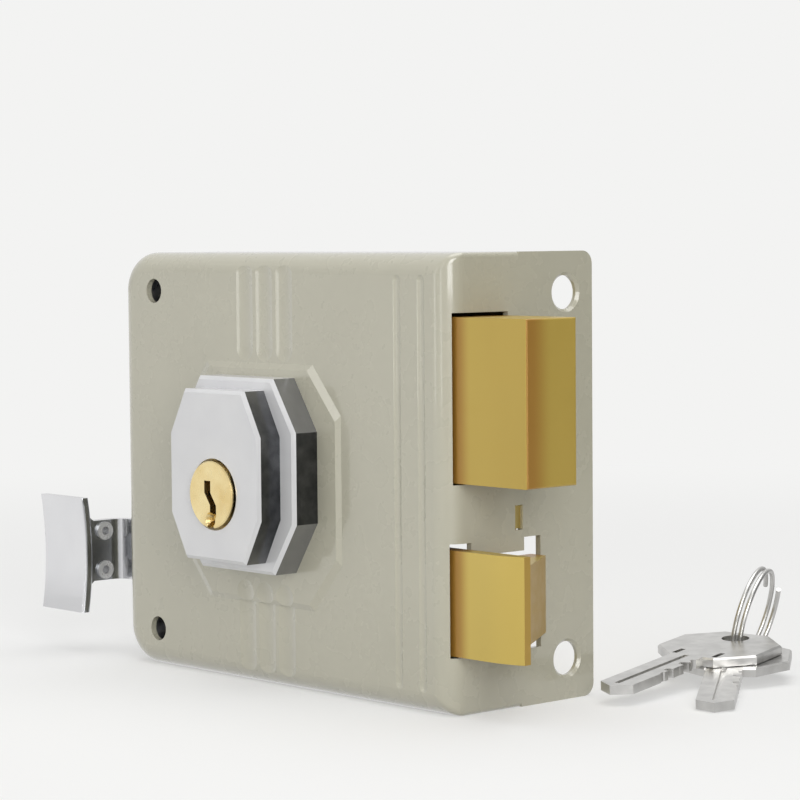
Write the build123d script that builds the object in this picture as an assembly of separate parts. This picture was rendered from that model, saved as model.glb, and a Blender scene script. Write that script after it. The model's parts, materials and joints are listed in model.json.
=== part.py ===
from build123d import *
import math
import os

# Rim box lock, in millimetres.
# Origin: where the cylinder axis meets the door face, which is the open back of the case.
# +X is the way the bolts are thrown, -Y is the front of the case, +Z is up.

# Case
case_width = 110.5
case_height = 95.0
case_depth = 22.0
flange_lap = 20.3
backset = 60.0
axis_drop = 4.5
wall = 1.4
corner_radius = 9.0
front_radius = 4.5
lap_corner_radius = 1.0
flange_corner_radius = 2.8

# Screw holes of the case
front_hole_radius = 2.75
front_hole_inset = 12.9
flange_hole_radius = 3.6
flange_hole_chamfer = 0.6
flange_hole_back = 12.3
hole_low_share = 0.49492

# Raised pad and flutes of the front
pad_half_width = 27.0
pad_half_height = 26.5
pad_cut_width = 9.0
pad_cut_height = 10.5
pad_shift = 1.5
pad_height = 0.6
pad_slope = 1.3
flute_count = 3
flute_pitch = 6.7
flute_width = 5.6
flute_depth = 0.5
trough_reach_share = 0.56
flute_shift = 1.8
flute_end_gap = 1.6
flute_pad_gap = 0.3
flute_pad_lap = 5.0
bead_width = 2.2
bead_depth = 0.35
bead_insets = [15.2, 7.9]

# Deadbolt
bolt_height = 33.9
bolt_width = 14.2
bolt_front_gap = 2.7
bolt_window_inset = 2.0
bolt_window_top_gap = 0.85
bolt_above_axis = 5.0
bolt_projection = 20.0
bolt_inside = 20.0
bolt_gap = 0.35
bolt_edge_radius = 0.5
tail_thick = 3.0
tail_top = 22.0
tail_lap = 9.0
tail_back_gap = 8.0
tail_rivet_radius = 1.6

# Rack and pinion, one turn of the plug for the whole throw
tooth_module = 0.63
tooth_count = 10
tooth_gap = 0.12
tooth_flank_share = 0.36
tooth_tip_share = 0.33
tooth_root_share = 1.25
pinion_wide = 3.6
pinion_hub_radius = 4.6

# Spring latch
latch_leg_thick = 3.4
latch_leg_height = 21.8
latch_front_gap = 2.2
latch_projection = 17.8
latch_nose_radius = 9.0
latch_body_height = 16.2
latch_body_reach = 4.0
latch_inside = 22.0
latch_nose_drop = 1.7
latch_travel = 17.3
latch_strip_thick = 3.0
slide_gap = 0.1
latch_level = -19.6
latch_slot_low = 0.4
latch_slot_top = 1.3
latch_leg_gap = 0.8
latch_notch_gap = 0.4
latch_bevel_start = 1.9
latch_bend_shares = [0.55, 0.3]
latch_back_gap = 1.0
strip_rivet_inset = 3.0
latch_rivet_pitch = 9.0
arm_rivet_pitch = 6.0

# Latch spring
spring_wire = 0.8
spring_radius = 3.3
spring_turns = 9
spring_front_gap = 11.0
spring_rod_radius = 1.9
spring_end_gap = 0.3
anchor_thick = 3.0
anchor_gap = 0.4
anchor_rim = 1.4
gap_steps = 6

# Pull handle
arm_thick = 2.5
arm_height = 14.5
arm_bend = 3.0
arm_reach = 19.9
arm_straight = 5.2
arm_inside = 42.5
grip_width = 17.0
grip_height = 27.2
grip_thick = 2.2
grip_dish = 1.1
grip_edge_radius = 0.7
grip_stand_off = 2.0
neck_flare = 4.4
tongue_thick = 2.6
tongue_step = 1.4
handle_rivet_radius = 1.5
handle_rivet_bore = 1.0
handle_rivet_head = 2.2
handle_rivet_rise = 0.7
handle_rivet_pitch = 9.4

# Cylinder and its guard
plug_radius = 6.5
plug_head_radius = 7.3
plug_head_length = 3.4
plug_length = 20.3
plug_proud = 0.9
plug_chamfer = 0.25
mouth_place_share = 0.75
mouth_small_share = 0.13
mouth_large_share = 0.33
running_fit = 0.05
key_slot_width = 2.1
key_slot_top = 3.0
key_slot_side_shares = [-0.45, -0.45, 0.45, 0.45, 0.0]
key_slot_height_shares = [1.0, 0.13, -0.75, -1.5, -2.0]
key_cut_shares = [0.35, 0.2, 0.45, 0.25, 0.4]
housing_radius = 11.0
housing_length = 18.4
chimney_half_width = 4.6
chimney_top = 17.4
chamber_radius = 1.3
pin_count = 5
pin_pitch = 3.2
pin_first = 3.4
pin_gap = 0.08
driver_length = 3.8
cover_strip_thick = 1.2
pin_spring_wire = 0.3
pin_spring_radius = 0.85
pin_spring_turns = 5
dog_radius = 1.0
dog_spread = 3.25
dog_length = 1.4
tail_slot_width = 2.6
tail_slot_length = 7.0
guard_shift = 4.0
guard_wall = 2.6
guard_half_width = 19.9
guard_half_height = 21.1
guard_cut_width = 7.3
guard_cut_height = 11.3
guard_depth = 7.2
top_half_width = 15.4
top_half_height = 18.6
top_cut_width = 5.2
top_cut_height = 9.7
top_depth = 6.0
guard_chamfer = 0.75
guard_hole_gap = 0.5
guard_screw_radius = 1.6
guard_screw_spread = 15.0
guard_screw_length = 9.0
guard_screw_head = 3.1
ear_half_height = 4.6
ear_thick = 2.2
clip_thick = 0.8
clip_radius = 7.8
clip_groove = 0.8

# Keys and their split ring, lying beside the lock
key_bow = 25.0
key_bow_cut_share = 0.55
key_hole_inset = 5.4
key_hole_radius = 3.1
key_thick = 2.0
key_blade = 31.0
key_blade_height = 8.0
key_groove = 0.6
key_chamfer = 0.4
key_cut_flat = 0.6
key_wing_share = 0.62
key_floor_gap = 0.05
key_fan = 13.0
key_heading = -66.0
key_place = (64.0, 62.0)
ring_radius = 11.0
ring_wire = 1.1
ring_pitch = 1.6
ring_lean = 75.0
ring_hole_angle = -32.0

# Back plate and what stands on it
plate_thick = 1.6
plate_recess = 0.8
plate_margin = 0.6
plate_hole_radius = 8.5
plate_corner_radius = 8.0
tab_proud = 0.7
slot_height = 5.2
slot_depth = 2.2
slot_above_latch = 2.9
post_radius = 3.6
post_bore = 1.25
screw_radius = 1.2
screw_head_radius = 2.6
screw_head_rise = 1.3
screw_length = 9.0
screw_slot_share = 0.5
tube_wall = 0.8
guide_post_radius = 2.0
guide_post_rim = 1.2
guide_gap = 0.2
detent_thick = 0.6
detent_gap = 0.35
detent_x = 0.0
detent_notch = 1.2
detent_reach = 5.0
detent_arm = 12.0
overrun = 2.0

# Places that follow from the sizes above
x_edge = backset
x_left = backset - case_width
y_front = -case_depth
z_middle = axis_drop
z_bottom = z_middle - case_height / 2
z_top = z_middle + case_height / 2
y_inner = y_front + wall
x_wall = x_edge - wall
pitch_radius = tooth_module * tooth_count / 2
bolt_travel = 2 * math.pi * pitch_radius
plate_back = -plate_recess
plate_front = plate_back - plate_thick
guard_z = guard_shift


def block(x, y, z):
    """Box between two x, two y and two z values."""
    size = (x[1] - x[0], y[1] - y[0], z[1] - z[0])
    centre = ((x[0] + x[1]) / 2, (y[0] + y[1]) / 2, (z[0] + z[1]) / 2)
    return Pos(*centre) * Box(*size)


def rod_y(x, z, radius, y):
    """Cylinder along Y between two y values."""
    return Pos(x, (y[0] + y[1]) / 2, z) * Rot(90, 0, 0) * Cylinder(radius, y[1] - y[0])


def rod_x(y, z, radius, x):
    """Cylinder along X between two x values."""
    return Pos((x[0] + x[1]) / 2, y, z) * Rot(0, 90, 0) * Cylinder(radius, x[1] - x[0])


def rod_z(x, y, radius, z):
    """Cylinder along Z between two z values."""
    return Pos(x, y, (z[0] + z[1]) / 2) * Cylinder(radius, z[1] - z[0])


def prism_y(points, y):
    """Outline of (x, z) points drawn through from one y value to another."""
    face = Plane.XZ * Polygon(*points, align=None)
    return Pos(0, y[0], 0) * extrude(face, y[1] - y[0], dir=(0, 1, 0))


def prism_z(points, z):
    """Outline of (x, y) points drawn through from one z value to another."""
    face = Polygon(*points, align=None)
    return Pos(0, 0, z[0]) * extrude(face, z[1] - z[0], dir=(0, 0, 1))


def prism_x(points, x):
    """Outline of (y, z) points drawn through from one x value to another."""
    face = Plane.YZ * Polygon(*points, align=None)
    return Pos(x[0], 0, 0) * extrude(face, x[1] - x[0], dir=(1, 0, 0))


def octagon(half_width, half_height, cut_width, cut_height, z):
    """Corner points of a tall eight-sided outline centred on the cylinder axis."""
    inner_x = half_width - cut_width
    inner_z = half_height - cut_height
    right = [(half_width, -inner_z), (half_width, inner_z), (inner_x, half_height)]
    right = [(inner_x, -half_height)] + right
    left = [(-x, -dz) for x, dz in right]
    return [(x, z + dz) for x, dz in right + left]


def save(shape, name):
    """Write one sub-part."""
    export_step(shape, f"parts/{name}.step")


def case_block(inset, y_back):
    """Rounded block of the case, drawn in by inset on every closed side."""
    x = (x_left + inset, x_edge - inset)
    z = (z_bottom + inset, z_top - inset)
    shape = block(x, (y_front + inset, y_back), z)
    upright = shape.edges().filter_by(Axis.Y)
    left = upright.group_by(Axis.X)[0]
    shape = fillet(left, corner_radius - inset)
    right = shape.edges().filter_by(Axis.Y).group_by(Axis.X)[-1]
    shape = fillet(right, max(lap_corner_radius - inset, wall / 4))
    return fillet(shape.faces().sort_by(Axis.Y)[0].edges(), front_radius - inset)


def front_pad():
    """Low raised panel round the cylinder guard, with sloping sides."""
    foot = octagon(pad_half_width, pad_half_height, pad_cut_width, pad_cut_height, pad_shift)
    top = octagon(pad_half_width - pad_slope, pad_half_height - pad_slope,
                  pad_cut_width, pad_cut_height, pad_shift)
    lower = Pos(0, y_front + wall / 2, 0) * (Plane.XZ * Polygon(*foot, align=None))
    middle = Pos(0, y_front, 0) * (Plane.XZ * Polygon(*foot, align=None))
    upper = Pos(0, y_front - pad_height, 0) * (Plane.XZ * Polygon(*top, align=None))
    return loft([lower, middle], ruled=True) + loft([middle, upper], ruled=True)


def trough(x, z, width, depth, surface, square_top=False):
    """Shallow upright groove cut in a front surface, with rounded ends or a square upper end."""
    radius = (width * width / 4 + depth * depth) / (2 * depth)
    y_axis = surface - radius + depth
    ends = [z[0] + width / 2, z[1] - width / 2]
    if square_top:
        ends[1] = z[1]
    groove = rod_z(x, y_axis, radius, ends)
    groove += Pos(x, y_axis, ends[0]) * Sphere(radius)
    if not square_top:
        groove += Pos(x, y_axis, ends[1]) * Sphere(radius)
    beside = width * trough_reach_share
    reach = block((x - beside, x + beside), (surface - depth, surface + depth), z)
    return groove & reach


def front_grooves():
    """Flutes above the pad and from below onto it, and the two long beads beside the bend."""
    pad_top = pad_shift + pad_half_height
    pad_low = pad_shift - pad_half_height
    upper = (pad_top + flute_pad_gap, z_top - flute_end_gap)
    lower = (z_bottom + flute_end_gap, pad_low + flute_pad_gap)
    across = (pad_low - flute_width / 2, pad_low + flute_pad_lap)
    grooves = []
    for index in range(flute_count):
        x = flute_shift + (index - (flute_count - 1) / 2) * flute_pitch
        grooves.append(trough(x, upper, flute_width, flute_depth, y_front))
        grooves.append(trough(x, lower, flute_width, flute_depth, y_front, square_top=True))
        grooves.append(trough(x, across, flute_width, flute_depth, y_front - pad_height))
    full = (z_bottom + front_radius, z_top - front_radius)
    for inset in bead_insets:
        grooves.append(trough(x_edge - inset, full, bead_width, bead_depth, y_front))
    return grooves


def hole_places():
    """Heights of the two screw holes that each mounting side has, clear of the pull arm."""
    floor = z_bottom + wall
    low = floor + hole_low_share * (strip_z[0] - floor)
    return [low, 2 * z_middle - low]


# Bolt, latch and handle places
bolt_z = (bolt_above_axis, bolt_above_axis + bolt_height)
bolt_y = (y_front + bolt_front_gap, y_front + bolt_front_gap + bolt_width)
bolt_x = (x_edge - bolt_inside, x_edge + bolt_projection)
tail_y = (-tail_back_gap - tail_thick, -tail_back_gap)
leg_z = (latch_level - latch_leg_height / 2, latch_level + latch_leg_height / 2)
leg_y = (y_front + latch_front_gap, y_front + latch_front_gap + latch_leg_thick)
body_z = (latch_level - latch_body_height / 2, latch_level + latch_body_height / 2)
latch_x = (x_edge - latch_inside, x_edge + latch_projection)
strip_y = (plate_front - slide_gap - latch_strip_thick, plate_front - slide_gap)
strip_z = (latch_level - arm_height / 2, latch_level + arm_height / 2)
arm_y = (strip_y[0] - arm_thick, strip_y[0])
shank_x = x_left - arm_reach
grip_y = y_front - grip_stand_off
tongue_y = (arm_y[0] - arm_bend - arm_straight, arm_y[0] - arm_bend)
spring_y = y_front + spring_front_gap
rivet_y = tongue_y[1] - handle_rivet_head
anchor_x = x_left + arm_inside + overrun

# Cylinder places
guard_front = y_front - guard_depth - top_depth
housing_y = (guard_front + guard_wall, guard_front + guard_wall + housing_length)
plug_face = guard_front - plug_proud
head_back = plug_face + plug_head_length
plug_back = head_back + plug_length
pinion_y = ((tail_y[0] + tail_y[1] - pinion_wide) / 2, (tail_y[0] + tail_y[1] + pinion_wide) / 2)
ear_half_width = guard_screw_spread + guard_screw_head + bolt_gap
screw_seat = y_inner + ear_thick
guard_screw_tip = screw_seat - guard_screw_length
guide_x = plate_hole_radius
guide_z = (bolt_above_axis + tail_top) / 2


def cylinder_shape(grow, y):
    """Round cylinder body with the pin chimney above it, grown by a clearance."""
    shape = rod_y(0, 0, housing_radius + grow, y)
    x = (-chimney_half_width - grow, chimney_half_width + grow)
    return shape + block(x, y, (0, chimney_top + grow))


def make_cover():
    """Pressed steel case with the flange that laps over the door's edge."""
    outer = case_block(0, 0)
    pad = front_pad()
    flange = block((x_wall, x_edge), (-wall, flange_lap), (z_bottom, z_top))
    back_corners = flange.edges().filter_by(Axis.X).group_by(Axis.Y)[-1]
    flange = fillet(back_corners, flange_corner_radius)
    inner = case_block(wall, overrun) - block((x_left, x_edge), (0, 2 * overrun), (z_bottom, z_top))
    inner += block((x_left + wall, x_wall), (-wall, overrun), (z_bottom + wall, z_top - wall))
    shell = outer + pad - inner - Pos(0, wall, 0) * pad + flange
    for groove in front_grooves():
        shell -= groove
    through = (x_wall - front_radius + wall, x_edge + overrun)
    gap_y = (y_front + bolt_window_inset, bolt_y[1] + bolt_gap)
    shell -= block(through, gap_y, (bolt_z[0] - bolt_gap, bolt_z[1] + bolt_window_top_gap))
    shell -= prism_x(latch_slot(), through)
    slot_z = leg_z[1] + slot_above_latch
    tab_y = (plate_back - slot_depth, plate_back)
    shell -= block(through, tab_y, (slot_z, slot_z + slot_height))
    for z in hole_places():
        shell -= rod_x(flange_hole_back, z, flange_hole_radius, (x_wall - wall, x_edge + wall))
        cone = Cone(flange_hole_radius, flange_hole_radius + flange_hole_chamfer, flange_hole_chamfer)
        shell -= Pos(x_edge - flange_hole_chamfer / 2, flange_hole_back, z) * Rot(0, 90, 0) * cone
        x = x_left + front_hole_inset
        shell -= rod_y(x, z, front_hole_radius, (y_front - wall, y_inner + wall))
    shell -= cylinder_shape(bolt_gap, (y_front - pad_height - wall, y_inner + wall))
    for side in (-1, 1):
        x = side * guard_screw_spread
        y = (y_front - pad_height - wall, y_inner + wall)
        shell -= rod_y(x, guard_z, guard_screw_radius + guide_gap, y)
    arm_z = (strip_z[0] - guide_gap, strip_z[1] + guide_gap)
    arm_slot = (arm_y[0] - guide_gap, arm_y[1] + guide_gap)
    shell -= block((x_left - overrun, x_left + wall + overrun), arm_slot, arm_z)
    return shell


def latch_slot():
    """Stepped opening of the latch in the flange wall, as (y, z) points."""
    low = leg_z[0] - latch_slot_low
    high = leg_z[1] + latch_slot_top
    middle = body_z[1] + latch_slot_top
    leg_back = leg_y[1] + latch_leg_gap
    back = latch_body_reach + latch_notch_gap
    points = [(y_inner, low), (back, low), (back, high), (-latch_notch_gap, high)]
    points += [(-latch_notch_gap, middle), (leg_back, middle), (leg_back, high), (y_inner, high)]
    return points


def post_places():
    """Places of the posts that the back plate is screwed to."""
    edge = front_radius + post_radius
    top = z_top - edge
    beside_bolt = bolt_x[0] - bolt_travel - post_radius - bolt_gap
    between = (bolt_z[0] + leg_z[1]) / 2
    return [(beside_bolt, top), (-housing_radius, top), (x_left + edge, chimney_top), (x_edge - edge, between)]


def make_back_plate():
    """Zinc-plated plate that closes the case and carries the works."""
    x = (x_left + wall + plate_margin, x_wall - plate_margin)
    y = (plate_front, plate_back)
    plate = block(x, y, (z_bottom + wall + plate_margin, z_top - wall - plate_margin))
    plate = fillet(plate.edges().filter_by(Axis.Y).group_by(Axis.X)[0], plate_corner_radius)
    slot_z = leg_z[1] + slot_above_latch
    tab_z = (slot_z + guide_gap, slot_z + slot_height - guide_gap)
    plate += block((x[1] - wall, x_wall + tab_proud), y, tab_z)
    window_x = latch_x[0] - overrun
    window_z = (leg_z[0] - latch_slot_top, leg_z[1] + latch_slot_top)
    plate -= block((window_x, x_edge), (plate_front - wall, overrun), window_z)
    plate -= rod_y(0, 0, plate_hole_radius, (plate_front - wall, overrun))
    for z in hole_places():
        plate -= rod_y(x_left + front_hole_inset, z, front_hole_radius, (plate_front - wall, overrun))
    for px, pz in post_places():
        plate -= rod_y(px, pz, post_bore, (plate_front - wall, overrun))
        plate -= screw_head(px, pz)
    return plate


def screw_head(x, z):
    """Countersunk head of a back plate screw, flush with the plate."""
    cone = Cone(screw_radius, screw_head_radius, screw_head_rise)
    return Pos(x, plate_back - screw_head_rise / 2, z) * Rot(-90, 0, 0) * cone


def make_screw_tubes():
    """Two spacer tubes that the front mounting screws run through."""
    tubes = []
    for z in hole_places():
        x = x_left + front_hole_inset
        y = (y_inner, plate_front)
        tube = rod_y(x, z, front_hole_radius + tube_wall, y)
        tubes.append(tube - rod_y(x, z, front_hole_radius, (y[0] - wall, y[1] + wall)))
    return Compound(children=tubes)


def make_posts():
    """Threaded posts between the front of the case and the back plate."""
    posts = []
    for x, z in post_places():
        post = rod_y(x, z, post_radius, (y_inner, plate_front))
        posts.append(post - rod_y(x, z, post_bore, (plate_front - 2 * screw_length, overrun)))
    return Compound(children=posts)


def make_plate_screws():
    """Countersunk screws that hold the back plate on its posts."""
    screws = []
    slot_floor = plate_back - screw_head_rise / 2
    slot_half = screw_radius * screw_slot_share / 2
    for x, z in post_places():
        shank = rod_y(x, z, screw_radius, (plate_back - screw_length, slot_floor))
        slot_x = (x - screw_head_radius, x + screw_head_radius)
        slot = block(slot_x, (slot_floor, overrun), (z - slot_half, z + slot_half))
        screws.append(shank + screw_head(x, z) - slot)
    return Compound(children=screws)


def make_guide_post():
    """Headed post on the back plate that runs in the slot of the deadbolt tail."""
    post = rod_y(guide_x, guide_z, guide_post_radius, (tail_y[0] - guide_gap, plate_front))
    head_y = (tail_y[0] - guide_gap - guide_post_rim, tail_y[0] - guide_gap)
    collar_y = (tail_y[1] + guide_gap, plate_front)
    post += rod_y(guide_x, guide_z, guide_post_radius + guide_post_rim, head_y)
    return post + rod_y(guide_x, guide_z, guide_post_radius + guide_post_rim, collar_y)


def rack_teeth():
    """Outline points of the rack along the lower edge of the deadbolt tail."""
    pitch = math.pi * tooth_module
    root = pitch_radius + tooth_root_share * tooth_module
    tip = pitch_radius - tooth_module + tooth_gap
    foot_half = (tooth_flank_share * pitch + tooth_gap) / 2
    tip_half = foot_half * tooth_tip_share
    points = []
    for index in range(-2, tooth_count + 2):
        x = pitch * index + pitch / 2
        points += [(x - foot_half, root), (x - tip_half, tip), (x + tip_half, tip), (x + foot_half, root)]
    return points, root


def make_deadbolt_tail():
    """Steel tail of the deadbolt with its rack, guide slot and detent notches."""
    teeth, root = rack_teeth()
    left = teeth[0][0] - tooth_module
    lap_x = bolt_x[0] + tail_lap
    outline = [(left, tail_top), (left, root)] + teeth
    outline += [(bolt_x[0] - bolt_gap, root), (bolt_x[0] - bolt_gap, bolt_z[0])]
    outline += [(lap_x, bolt_z[0]), (lap_x, tail_top)]
    tail = prism_y(outline, tail_y)
    y = (tail_y[0] - wall, tail_y[1] + wall)
    reach = guide_post_radius + guide_gap
    slot = block((guide_x, guide_x + bolt_travel), y, (guide_z - reach, guide_z + reach))
    slot += rod_y(guide_x, guide_z, reach, y) + rod_y(guide_x + bolt_travel, guide_z, reach, y)
    tail -= slot
    for x in (detent_x, detent_x + bolt_travel):
        notch = [(x - detent_notch, tail_top), (x, tail_top - detent_notch), (x + detent_notch, tail_top)]
        tail -= prism_y(notch, y)
    for x, z in tail_rivet_places():
        tail -= rod_y(x, z, tail_rivet_radius, y)
    return tail


def tail_rivet_places():
    """Places of the two rivets that join the deadbolt to its tail."""
    x = bolt_x[0] + tail_lap / 2
    step = (tail_top - bolt_z[0]) / 4
    return [(x, bolt_z[0] + step), (x, tail_top - step)]


def make_deadbolt_head():
    """Solid square-ended deadbolt."""
    head = block(bolt_x, bolt_y, bolt_z)
    outer = head.faces().sort_by(Axis.X)[-1].edges()
    head = fillet(outer, bolt_edge_radius)
    head -= block((bolt_x[0], bolt_x[0] + tail_lap), tail_y, (bolt_z[0], tail_top))
    for x, z in tail_rivet_places():
        head -= rod_y(x, z, tail_rivet_radius, (bolt_y[0] + wall, bolt_y[1] + wall))
    return head


def make_tail_rivets():
    """Rivets through the deadbolt and its tail."""
    rivets = []
    for x, z in tail_rivet_places():
        rivets.append(rod_y(x, z, tail_rivet_radius, (bolt_y[0] + wall, bolt_y[1])))
    return Compound(children=rivets)


def make_latch_head():
    """Bevelled spring latch: a tall front leg with the slanting body behind it."""
    nose = latch_x[1] - latch_nose_radius
    tip_y = leg_y[0] + latch_nose_drop
    along, down = latch_bend_shares
    bend = (nose + latch_nose_radius * along, leg_y[0] + latch_nose_drop * down)
    line = Polyline((latch_x[1], tip_y), (latch_x[1], leg_y[1]), (latch_x[0], leg_y[1]),
                    (latch_x[0], leg_y[0]), (nose, leg_y[0]))
    face = make_face(line + ThreePointArc((nose, leg_y[0]), bend, (latch_x[1], tip_y)))
    leg = Pos(0, 0, leg_z[0]) * extrude(face, latch_leg_height, dir=(0, 0, 1))
    lobe_x = x_wall - latch_back_gap
    lobe_out = x_edge + latch_bevel_start
    outline = [(latch_x[0], leg_y[1]), (latch_x[1] - latch_bevel_start, leg_y[1])]
    outline += [(lobe_out, latch_body_reach), (lobe_x, latch_body_reach)]
    outline += [(lobe_x, strip_y[0]), (latch_x[0], strip_y[0])]
    head = leg + prism_z(outline, body_z)
    for x in latch_rivet_places():
        head -= rod_y(x, latch_level, tail_rivet_radius, (strip_y[0] - latch_strip_thick, strip_y[0]))
    return head


def latch_rivet_places():
    """Distances along X of the rivets that join the latch to its strip."""
    first = latch_x[0] + strip_rivet_inset
    return [first, first + latch_rivet_pitch]


def arm_rivet_places():
    """Distances along X of the rivets that join the pull arm to the strip."""
    first = x_left + arm_inside - strip_rivet_inset
    return [first - arm_rivet_pitch, first]


def make_latch_strip():
    """Flat strip that joins the latch to the pull arm and slides on the back plate."""
    strip_x = (arm_rivet_places()[0] - strip_rivet_inset, x_wall - latch_back_gap - guide_gap)
    strip = block(strip_x, strip_y, strip_z)
    for x in latch_rivet_places() + arm_rivet_places():
        strip -= rod_y(x, latch_level, tail_rivet_radius, (strip_y[0] - wall, strip_y[1] + wall))
    return strip


def make_latch_rivets():
    """Flush rivets along the latch strip."""
    rivets = []
    head_y = (strip_y[0] - latch_strip_thick, strip_y[1])
    for x in latch_rivet_places():
        rivets.append(rod_y(x, latch_level, tail_rivet_radius, head_y))
    for x in arm_rivet_places():
        rivets.append(rod_y(x, latch_level, tail_rivet_radius, (arm_y[0], strip_y[1])))
    return Compound(children=rivets)


def make_pull_arm():
    """Steel strip that leaves the case at its left side and turns towards the front."""
    inner = arm_bend
    outer = arm_bend + arm_thick
    centre = (shank_x + inner, arm_y[0] - inner)
    slant = math.sqrt(0.5)
    inner_mid = (centre[0] - inner * slant, centre[1] + inner * slant)
    outer_mid = (centre[0] - outer * slant, centre[1] + outer * slant)
    right = x_left + arm_inside
    bend_x = shank_x + inner
    back_x = shank_x - arm_thick
    tip = tongue_y[0]
    line = Polyline((bend_x, arm_y[0]), (right, arm_y[0]), (right, arm_y[1]), (bend_x, arm_y[1]))
    line += ThreePointArc((bend_x, arm_y[1]), outer_mid, (back_x, centre[1]))
    line += Polyline((back_x, centre[1]), (back_x, tip), (shank_x, tip), (shank_x, centre[1]))
    line += ThreePointArc((shank_x, centre[1]), inner_mid, (bend_x, arm_y[0]))
    arm = Pos(0, 0, strip_z[0]) * extrude(make_face(line), arm_height, dir=(0, 0, 1))
    for x in arm_rivet_places():
        arm -= rod_y(x, latch_level, tail_rivet_radius, (arm_y[0] - wall, arm_y[1] + wall))
    for z in handle_rivet_heights():
        arm -= rod_x(rivet_y, z, handle_rivet_radius, (back_x - wall, shank_x + wall))
    return arm


def handle_rivet_heights():
    """Heights of the two tubular rivets of the pull handle."""
    return [latch_level - handle_rivet_pitch / 2, latch_level + handle_rivet_pitch / 2]


def make_pull_grip():
    """Die-cast grip: dished plate, flared neck and the tongue behind the arm."""
    low = latch_level - grip_height / 2
    high = latch_level + grip_height / 2
    y0 = grip_y
    y1 = grip_y + grip_thick
    line = Line((y0, low), (y1, low))
    line += ThreePointArc((y1, low), (y1 + grip_dish, latch_level), (y1, high))
    line += Line((y1, high), (y0, high))
    line += ThreePointArc((y0, high), (y0 + grip_dish, latch_level), (y0, low))
    grip_x = shank_x - arm_thick - grip_width / 2
    plate = Pos(grip_x, 0, 0) * extrude(Plane.YZ * make_face(line), grip_width, dir=(1, 0, 0))
    plate = fillet(plate.edges().filter_by(GeomType.CIRCLE), grip_edge_radius)
    half = arm_height / 2
    neck = [(y1, latch_level - half - neck_flare), (tongue_y[0], latch_level - half)]
    neck += [(tongue_y[0], latch_level + half), (y1, latch_level + half + neck_flare)]
    back_x = shank_x - arm_thick - tongue_thick
    grip = plate + prism_x(neck, (back_x, shank_x))
    tongue_z = (latch_level - half + tongue_step, latch_level + half - tongue_step)
    grip += block((back_x, shank_x - arm_thick), tongue_y, tongue_z)
    for z in handle_rivet_heights():
        grip -= rod_x(rivet_y, z, handle_rivet_radius, (back_x - wall, shank_x))
    return grip


def make_handle_rivets():
    """Tubular rivets that hold the grip on the arm."""
    rivets = []
    back_x = shank_x - arm_thick - tongue_thick
    for z in handle_rivet_heights():
        rivet = rod_x(rivet_y, z, handle_rivet_radius, (back_x, shank_x))
        rivet += rod_x(rivet_y, z, handle_rivet_head, (shank_x, shank_x + handle_rivet_rise))
        rivet += rod_x(rivet_y, z, handle_rivet_head, (back_x - handle_rivet_rise, back_x))
        bore = rod_x(rivet_y, z, handle_rivet_bore, (back_x - overrun, shank_x + overrun))
        rivets.append(rivet - bore)
    return Compound(children=rivets)


def make_spring_anchor():
    """Bracket on the back plate that the latch spring pushes against."""
    x = (anchor_x, anchor_x + anchor_thick)
    top = strip_z[1] + anchor_gap
    rim = spring_radius + anchor_rim
    foot_y = (housing_y[1] + clip_thick + guide_gap, plate_front)
    foot = block(x, foot_y, (top, top + anchor_thick))
    arm = block(x, (spring_y - rim, arm_y[1] - anchor_gap), (latch_level - rim, top))
    rod_end = latch_x[0] - latch_travel - spring_rod_radius
    return foot + arm + rod_x(spring_y, latch_level, spring_rod_radius, (x[1], rod_end))


def wire_path(points, directions):
    """Line of paired tangent arcs through points with directions."""
    path = None
    for start, end, t0, t1 in zip(points, points[1:], directions, directions[1:]):
        chord = end - start
        both = t0 + t1
        bend = 2 * (1 - t0.dot(t1))
        along = chord.dot(both)
        reach = (-along + math.sqrt(along * along + bend * chord.dot(chord))) / bend
        middle = (start + t0 * reach + end - t1 * reach) / 2
        pair = TangentArc(start, middle, tangent=t0)
        pair += TangentArc(middle, end, tangent=pair.tangent_at(1))
        path = pair if path is None else path + pair
    return path


def least_gap(path, wire, half_turn):
    """Least gap of a coil to itself, measured on points at least half a turn apart."""
    places = [edge.position_at(step / gap_steps) for edge in path.edges() for step in range(gap_steps)]
    places = sorted((place.X, place.Y, place.Z) for place in places)
    gaps = [math.dist(a, b) for index, a in enumerate(places) for b in places[index + half_turn:]]
    return min(gaps) - wire


def coil_along_x(x, y, z, radius, wire, turns):
    """Open coil between two x values, one unbroken wire."""
    quarters = 4
    pitch = (x[1] - x[0] - wire) / turns
    points = []
    directions = []
    for index in range(turns * quarters + 1):
        angle = 2 * math.pi * index / quarters
        along = x[0] + wire / 2 + pitch * index / quarters
        points.append(Vector(along, y + radius * math.cos(angle), z + radius * math.sin(angle)))
        slope = Vector(pitch / (2 * math.pi), -radius * math.sin(angle), radius * math.cos(angle))
        directions.append(slope.normalized())
    path = wire_path(points, directions)
    gap = least_gap(path, wire, quarters * gap_steps)
    print(f"coil of {turns} turns: least gap to itself {gap:.2f} mm")
    section = Plane(origin=points[0], z_dir=directions[0]) * Circle(wire / 2)
    return sweep(section, path=path)


def make_latch_spring():
    """Compression spring that throws the latch."""
    x = (anchor_x + anchor_thick + spring_end_gap, latch_x[0] - spring_end_gap)
    return coil_along_x(x, spring_y, latch_level, spring_radius, spring_wire, spring_turns)


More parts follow.
